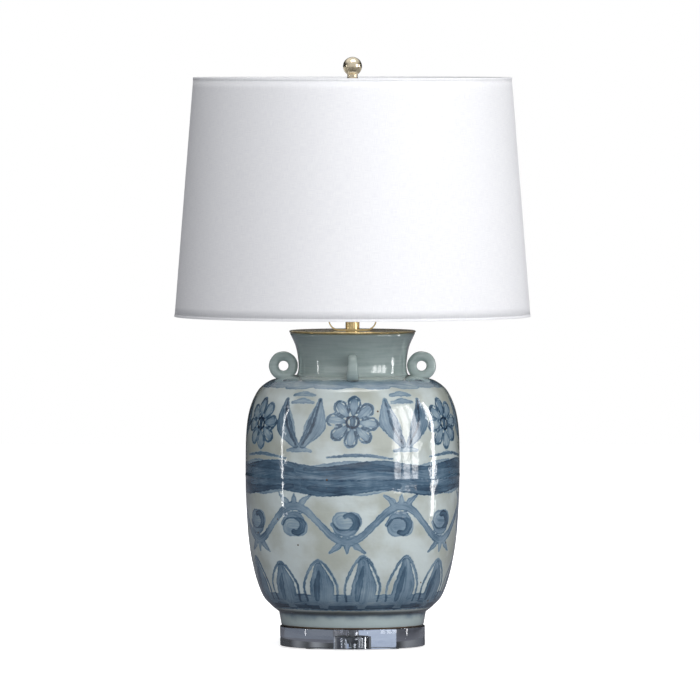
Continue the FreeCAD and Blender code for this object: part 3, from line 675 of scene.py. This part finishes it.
def jar_outside():
    """The jar's outside as (radius, height), with a faint ridge where its two halves join."""
    foot = evenly(np.array(FOOT_PROFILE), 3.0)
    body = evenly(spline(BODY_PROFILE, 12), 2.15)
    neck = evenly(spline(NECK_PROFILE, 10), 3.0)
    outside = np.vstack([foot[:-1], body[:-1], neck])
    outside[:, 0] += SEAM_RIDGE * np.exp(-((outside[:, 1] - SEAM_HEIGHT) / SEAM_WIDTH) ** 2)
    return outside


def jar():
    """The painted jar, thrown in two halves and slightly uneven."""
    outside = jar_outside()
    outline = np.vstack([outside, LIP_PROFILE, INSIDE_PROFILE])
    points = shape_by_hand(turned_points(outline, JAR_COLUMNS))
    piece = mesh_piece("jar_glazed", points, ring_faces(len(outline), JAR_COLUMNS))
    painting = Painting(np.degrees(turns(JAR_COLUMNS)), outside)
    paint(painting)
    store_painting(piece, painting)
    return piece


def shape_by_hand(points):
    """Pushes the body in and out a little, as on a thrown jar, and leaves the foot and the neck true."""
    height = points[:, 2]
    above_foot, below_neck = np.clip((height - 50) / 40, 0, 1), np.clip((345 - height) / 30, 0, 1)
    push = uneven(points, 0.55, 0.011, 3.0) * (above_foot * below_neck)
    reach = np.hypot(points[:, 0], points[:, 1])
    points = points.copy()
    points[:, :2] *= (1 + push / reach)[:, None]
    return points


def store_painting(piece, painting):
    """Gives the jar's points the painting's layers. Points of the lip and the inside are bare."""
    total = len(piece.data.vertices)
    tones = np.zeros((total, 3))
    for k, layer in enumerate(Painting.LAYERS):
        *place, tone = painting.values[layer].reshape(4, -1)
        stored = np.zeros((total, 3))
        stored[:, 0] = FAR_OUTSIDE
        stored[:len(tone)] = np.column_stack(place)
        set_attribute(piece, layer, stored)
        tones[:len(tone), k] = tone
    set_attribute(piece, "tones", tones)


def clay_loop(name, azimuth):
    """A strap of clay bent into a ring, wider and flatter where it sits on the shoulder."""
    steps, section_steps = 72, 28
    flat_face, flat_side = 0.72, 0.62
    middle = (LOOP_RADIUS + LOOP_HOLE) / 2
    thick = (LOOP_RADIUS - LOOP_HOLE) / 2
    points = []
    for i in range(steps):
        turn = 2 * math.pi * i / steps
        low = (1 - math.cos(turn)) / 2
        half_width = LOOP_HALF_WIDTH + LOOP_FLARE * low ** 1.5
        for j in range(section_steps):
            a = 2 * math.pi * j / section_steps
            c, s = math.cos(a), math.sin(a)
            out = middle + thick * math.copysign(abs(c) ** flat_face, c)
            side = half_width * math.copysign(abs(s) ** flat_side, s)
            points.append((side, -(LOOP_CIRCLE + out * math.sin(turn)), LOOP_HEIGHT + out * math.cos(turn)))
    points = np.array(points)
    centre = np.array([0, -LOOP_CIRCLE, LOOP_HEIGHT])
    strays = uneven(points, 0.5, 0.09, azimuth + 5.0)
    points = centre + (points - centre) * (1 + strays / LOOP_USUAL_REACH)[:, None]
    a = math.radians(azimuth)
    spin = np.array([[math.cos(a), -math.sin(a), 0], [math.sin(a), math.cos(a), 0], [0, 0, 1]])
    return mesh_piece(name, points @ spin.T, ring_faces(steps, section_steps))


def acrylic_disc():
    """The clear base: polished faces, softened edges, and a hole with a wide counterbore below."""
    corners = [(BASE_RADIUS, BASE_BOTTOM), (BASE_RADIUS, BASE_TOP), (ROD_HOLE, BASE_TOP),
               (ROD_HOLE, BASE_BOTTOM + BORE_DEPTH), (BORE_RADIUS, BASE_BOTTOM + BORE_DEPTH),
               (BORE_RADIUS, BASE_BOTTOM)]
    piece = turned("acrylic_disc", rounded(corners, BASE_BEVEL, 4), DISC_COLUMNS)
    piece.data.set_sharp_from_angle(angle=math.radians(40))
    return piece


def finial_ball():
    """The polished ball on top."""
    rise = np.radians(np.linspace(-90, 90, 49))
    radius = np.maximum(BALL_RADIUS * np.cos(rise), 0.02)
    outline = np.column_stack([radius, BALL_HEIGHT + BALL_RADIUS * np.sin(rise)])
    return turned("brass_ball", outline, BALL_COLUMNS)


def shade_radius(height):
    """The radius of the shade's outer cone at a height."""
    share = (height - SHADE_BOTTOM) / (SHADE_TOP - SHADE_BOTTOM)
    return SHADE_BOTTOM_RADIUS + share * (SHADE_TOP_RADIUS - SHADE_BOTTOM_RADIUS)


def shade_layer(name, bottom, top, depth, thickness, rows=24):
    """A layer of the shade as a closed wall, this far inside the shade's outer cone."""
    heights = np.linspace(bottom, top, rows)
    outer = [(shade_radius(z) - depth, z) for z in heights]
    inner = [(shade_radius(z) - depth - thickness, z) for z in heights[::-1]]
    piece = turned(name, outer + inner, SHADE_COLUMNS)
    add_weave(piece)
    return piece


def add_weave(piece):
    """Stores each point's place on the flat cloth, in millimetres. The cloth's ends meet at the back."""
    co = np.zeros(len(piece.data.vertices) * 3)
    piece.data.vertices.foreach_get("co", co)
    co = co.reshape(-1, 3) / MM
    turn = np.arctan2(co[:, 0], -co[:, 1])
    set_attribute(piece, "weave", np.column_stack([turn * SHADE_BOTTOM_RADIUS, co[:, 2], 0 * turn]))


def hem(name, edge, upward):
    """A strip of linen folded over the shade's edge and the wire ring inside it."""
    fold, lap, far = (edge + upward * reach for reach in (HEM, HEM_LAP, HEM_HEIGHT))
    section = [(HEM_PROUD, edge), (HEM_PROUD, lap), (HEM, lap), (HEM, fold),
               (HEM_BACK - HEM, fold), (HEM_BACK - HEM, far), (HEM_BACK, far), (HEM_BACK, edge)]
    if upward < 0:
        section = section[::-1]
    outline = rounded([(shade_radius(z) - depth, z) for depth, z in section], HEM_ROUNDING, 3)
    piece = turned(name, outline, SHADE_COLUMNS)
    add_weave(piece)
    return piece


# ---------------------------------------------------------------- the scene

def dress(piece, body, slot, material, *nodes):
    """Puts a new piece on its body in place of CAD nodes, with its finish."""
    piece.data.materials.append(material)
    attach(piece, body)
    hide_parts(*nodes)
    return piece


def finish_cad_nodes(materials):
    """Gives each shown CAD node the material of its slot."""
    slots = {entry["slot"] for entry in frame["record"]["materials"]}
    for node in frame["nodes"].values():
        for held in node.material_slots:
            name = held.material.name.split(".")[0]
            if name in slots:
                held.material = materials[name]


def area_light(name, place, aim, size, power, reflected=True, lights=True):
    """A soft light. It can be left out of reflections and clear pieces, or show nowhere else."""
    data = bpy.data.lights.new(name, "AREA")
    data.shape = "RECTANGLE"
    data.size, data.size_y = size
    data.energy = power
    light = bpy.data.objects.new(name, data)
    bpy.context.scene.collection.objects.link(light)
    light.location = place
    light.rotation_euler = (Vector(aim) - Vector(place)).to_track_quat("-Z", "Y").to_euler()
    light.visible_camera = False
    light.visible_glossy = reflected
    light.visible_transmission = reflected
    light.visible_diffuse = lights


# What the clear base shows behind the lamp, from left to right: (place, brightness).
ROOM_LEFT = (0.05, 0.055, 0.07)
ROOM_BARS = ((0.2, 0.3), (0.27, 0.06), (0.36, 0.6), (0.42, 0.55), (0.44, 0.05), (0.6, 0.08),
             (0.68, 0.35), (0.73, 0.1), (0.8, 0.25), (0.88, 0.05))


def world():
    """Plain white behind the lamp, light from the front, and a room for reflections that is dark behind."""
    made = bpy.data.worlds.new("studio")
    made.use_nodes = True
    tree = made.node_tree

    def node(kind, *inputs, **settings):
        return add_node(tree, kind, *inputs, **settings)

    split = node("SeparateXYZ", node("TexCoord").outputs["Generated"])
    depth = node("MapRange", split.outputs["Y"], -0.9, 0.2, 0.75, 0.02, interpolation_type="SMOOTHSTEP")
    above = node("MapRange", split.outputs["Z"], 0.25, 0.75, 0.0, 0.85, interpolation_type="SMOOTHSTEP")
    room = node("Math", depth.outputs[0], above.outputs[0], operation="MAXIMUM")
    bars = node("ValToRGB", node("MapRange", split.outputs["X"], -1.0, 1.0, 0.0, 1.0).outputs[0])
    bars.color_ramp.interpolation = "EASE"
    fill_ramp(bars, ROOM_LEFT, [(at, (level * 0.93, level * 0.96, level)) for at, level in ROOM_BARS])
    rays = node("LightPath").outputs
    through = node("Background", bars.outputs[0], 0.8)
    reflected = node("Background", (0.95, 0.97, 1.0, 1.0), room.outputs[0])
    soft = node("MapRange", split.outputs["Y"], -0.64, 0.2, 1.03, 0.06, interpolation_type="SMOOTHSTEP")
    even = node("Background", (0.97, 0.98, 1.0, 1.0), soft.outputs[0])
    white = node("Background", (1.0, 1.0, 1.0, 1.0), 1.0)
    unseen = node("MixShader", rays["Is Glossy Ray"], even.outputs[0], reflected.outputs[0])
    unseen = node("MixShader", rays["Is Transmission Ray"], unseen.outputs[0], through.outputs[0])
    seen = node("MixShader", rays["Is Camera Ray"], unseen.outputs[0], white.outputs[0])
    tree.links.new(seen.outputs[0], tree.nodes["World Output"].inputs[0])
    bpy.context.scene.world = made


def floor():
    """A wide pale floor: white to the camera but for the lamp's faint shadow, and dimmer in reflections."""
    s = Surface("floor_paper", Roughness=0.8)
    grain = s.noise(s.position(), 0.02, 3)
    s.set("Base Color", s.mix(grain, (0.86, 0.86, 0.86), (0.9, 0.9, 0.9)))
    s.set("Emission Color", (1, 1, 1, 1))
    s.set("Emission Strength", 0.7)
    dim = s.node("BsdfDiffuse", s.mix(grain, (0.17, 0.175, 0.2), (0.2, 0.205, 0.23)))
    rays = s.node("LightPath").outputs["Is Camera Ray"]
    choose = s.node("MixShader", rays, dim.outputs[0], s.shader.outputs[0])
    under = s.node("NewGeometry").outputs["Backfacing"]
    one_sided = s.node("MixShader", under, choose.outputs[0], s.node("BsdfTransparent").outputs[0])
    s.tree.links.new(one_sided.outputs[0], s.tree.nodes["Material Output"].inputs[0])
    half = 6000.0
    piece = mesh_piece("floor", [(-half, -half, 0), (half, -half, 0), (half, half, 0), (-half, half, 0)],
                       [(0, 1, 2, 3)])
    piece.data.materials.append(s.material)


def bounce_card(name, corners, level):
    """A pale card behind the lamp, seen only through the clear base. Corners are in millimetres."""
    s = Surface(name, Roughness=0.8)
    s.set("Base Color", (0, 0, 0, 1))
    grain = s.noise(s.stretched(s.position(), (0.05, 0.02, 0.3)), 1.0, 3)
    s.set("Emission Color", s.mix(grain, (0.45, 0.53, 0.70), (0.78, 0.87, 1.0)))
    s.set("Emission Strength", level)
    piece = mesh_piece(name, corners, [(0, 1, 2, 3)])
    piece.data.materials.append(s.material)
    piece.visible_camera = False
    piece.visible_diffuse = False
    piece.visible_glossy = False
    piece.visible_shadow = False


def bounce_cards():
    """The disc shows what is behind it the wrong way round, so the left cards brighten its right half."""
    near, far, top, low = 135, 310, 100, 0.5
    bounce_card("bounce_left", [(-90, far, low), (-13, far, low), (-13, far, top), (-90, far, top)], 0.7)
    bounce_card("bounce_left_low", [(-4, near, low), (4, near, low), (-13, far, low), (-90, far, low)], 0.7)
    bounce_card("bounce_right_low", [(0, near, low), (60, near, low), (420, far, low), (30, far, low)], 0.2)


# The photo's view: far off and a little above the lamp, through a long lens. In metres.
CAMERA_PLACE = Vector((-0.0034, -12.8, 0.81))
CAMERA_AIM = Vector((-0.0032, 0, 0.380))


def camera():
    """The camera that stands where the photo was taken from."""
    data = bpy.data.cameras.new("photo_view")
    data.sensor_width = 36.0
    data.lens = 514.0
    data.clip_end = 60.0
    made = bpy.data.objects.new("photo_view", data)
    bpy.context.scene.collection.objects.link(made)
    made.location = CAMERA_PLACE
    made.rotation_euler = (CAMERA_AIM - CAMERA_PLACE).to_track_quat("-Z", "Y").to_euler()
    bpy.context.scene.camera = made


def make_materials():
    """The finish of each slot in the record. The linen here is the seam strip's, the one linen CAD node."""
    return {
        "clear_pad": clear_pad(),
        "clear_acrylic": clear_acrylic(),
        "zinc_steel": bare_metal("zinc_steel", (0.42, 0.43, 0.44), (0.62, 0.62, 0.6), 0.42, 0.28),
        "painted_glaze": painted_glaze(),
        "celadon_glaze": celadon(),
        "bushing_nylon": moulded("bushing_nylon", (0.66, 0.67, 0.65), (0.76, 0.77, 0.75), 0.4),
        "brass": brass("brass", (0.86, 0.66, 0.33), 0.16),
        "thin_brass": brass("thin_brass", (0.78, 0.6, 0.32), 0.26),
        "insulator_card": moulded("insulator_card", (0.1, 0.075, 0.05), (0.15, 0.11, 0.07), 0.75),
        "phenolic": moulded("phenolic", (0.012, 0.011, 0.01), (0.03, 0.027, 0.024), 0.4),
        "knob_plastic": moulded("knob_plastic", (0.012, 0.01, 0.01), (0.03, 0.025, 0.022), 0.25),
        "bulb_aluminium": bare_metal("bulb_aluminium", (0.72, 0.73, 0.74), (0.84, 0.84, 0.85), 0.34, 0.24),
        "frosted_glass": frosted_glass(),
        "white_linen": linen("white_linen_seam", upright_weave),
        "styrene_liner": moulded("styrene_liner", (0.84, 0.84, 0.83), (0.9, 0.9, 0.89), 0.45, 0.05),
        "frame_wire": moulded("frame_wire", (0.76, 0.76, 0.75), (0.84, 0.84, 0.83), 0.35, 0.2),
    }


def build_base(materials):
    """The jar, its four loops and the clear disc under it."""
    glaze, plain_glaze = materials["painted_glaze"], materials["celadon_glaze"]
    dress(jar(), "root", "painted_glaze", glaze, "jar")
    for name, azimuth in (("front", 0), ("right", 90), ("back", 180), ("left", 270)):
        dress(clay_loop("clay_loop_" + name, azimuth), "root", "celadon_glaze", plain_glaze, "loop_" + name)
    dress(acrylic_disc(), "root", "clear_acrylic", materials["clear_acrylic"], "acrylic_base")


def build_finial():
    """The ball, in a paler brass than the rest as a painted highlight, and the same brass on its collar."""
    # Painted highlight: a lighter copy of the brass, so the ball looks as bright as its reflections make it
    # look.
    highlight_brass = brass("champagne_brass", (0.93, 0.80, 0.58), 0.2)
    dress(finial_ball(), "finial", "brass", highlight_brass, "finial_ball")
    frame["nodes"]["finial_collar"].material_slots[0].material = highlight_brass


def build_shade(materials):
    """The stiff liner, the linen stretched over it and the two hems."""
    cloth = linen("white_linen", stored_weave)
    low, high = SHADE_BOTTOM + HEM, SHADE_TOP - HEM
    liner = dress(shade_layer("styrene_drum", low, high, HEM + FABRIC, LINER), "shade", "styrene_liner",
                  materials["styrene_liner"], "shade_liner")
    skin = dress(shade_layer("linen_drum", low, high, HEM, FABRIC), "shade", "white_linen", cloth,
                 "shade_fabric")
    top = dress(hem("linen_hem_top", SHADE_TOP, -1), "shade", "white_linen", cloth, "shade_top_hem")
    bottom = dress(hem("linen_hem_bottom", SHADE_BOTTOM, 1), "shade", "white_linen", cloth,
                   "shade_bottom_hem")


def build_lamp():
    """Finishes the CAD nodes that stay and puts the finer pieces in place of the others."""
    materials = make_materials()
    finish_cad_nodes(materials)
    build_base(materials)
    build_finial()
    build_shade(materials)


def light_the_room():
    """The world, the floor and the lamps and windows round it. Places are in metres, powers in watts."""
    world()
    floor()
    # A window in three panes on the right.
    for k, pane in enumerate((-0.42, 0.0, 0.42)):
        place = (1.85 + 0.45 * pane, -1.1 + 0.85 * pane, 0.85)
        area_light("window_right_%d" % k, place, (0, 0, 0.5), (0.3, 1.5), 6.4)
    area_light("window_side", (1.6, 0.12, 0.55), (0, 0, 0.3), (0.12, 1.2), 4, lights=False)
    area_light("gap_left", (-1.8, -0.35, 0.5), (0, 0, 0.3), (0.05, 1.2), 2, lights=False)
    area_light("fill", (0.9, -3.3, 1.2), (0, 0, 0.4), (2.0, 1.6), 25, reflected=False)
    area_light("fill_left", (-2.4, -2.2, 0.9), (0, 0, 0.5), (1.2, 1.2), 6.5, reflected=False)
    area_light("fill_back", (0, 3.4, 1.4), (0, 0, 0.4), (0.8, 1.8), 36, reflected=False)
    bounce_cards()
    area_light("ceiling", (0.2, -0.6, 3.0), (0, 0, 0.4), (2.0, 1.2), 16)


build_lamp()
light_the_room()
camera()
bpy.context.scene.view_settings.view_transform = "Standard"
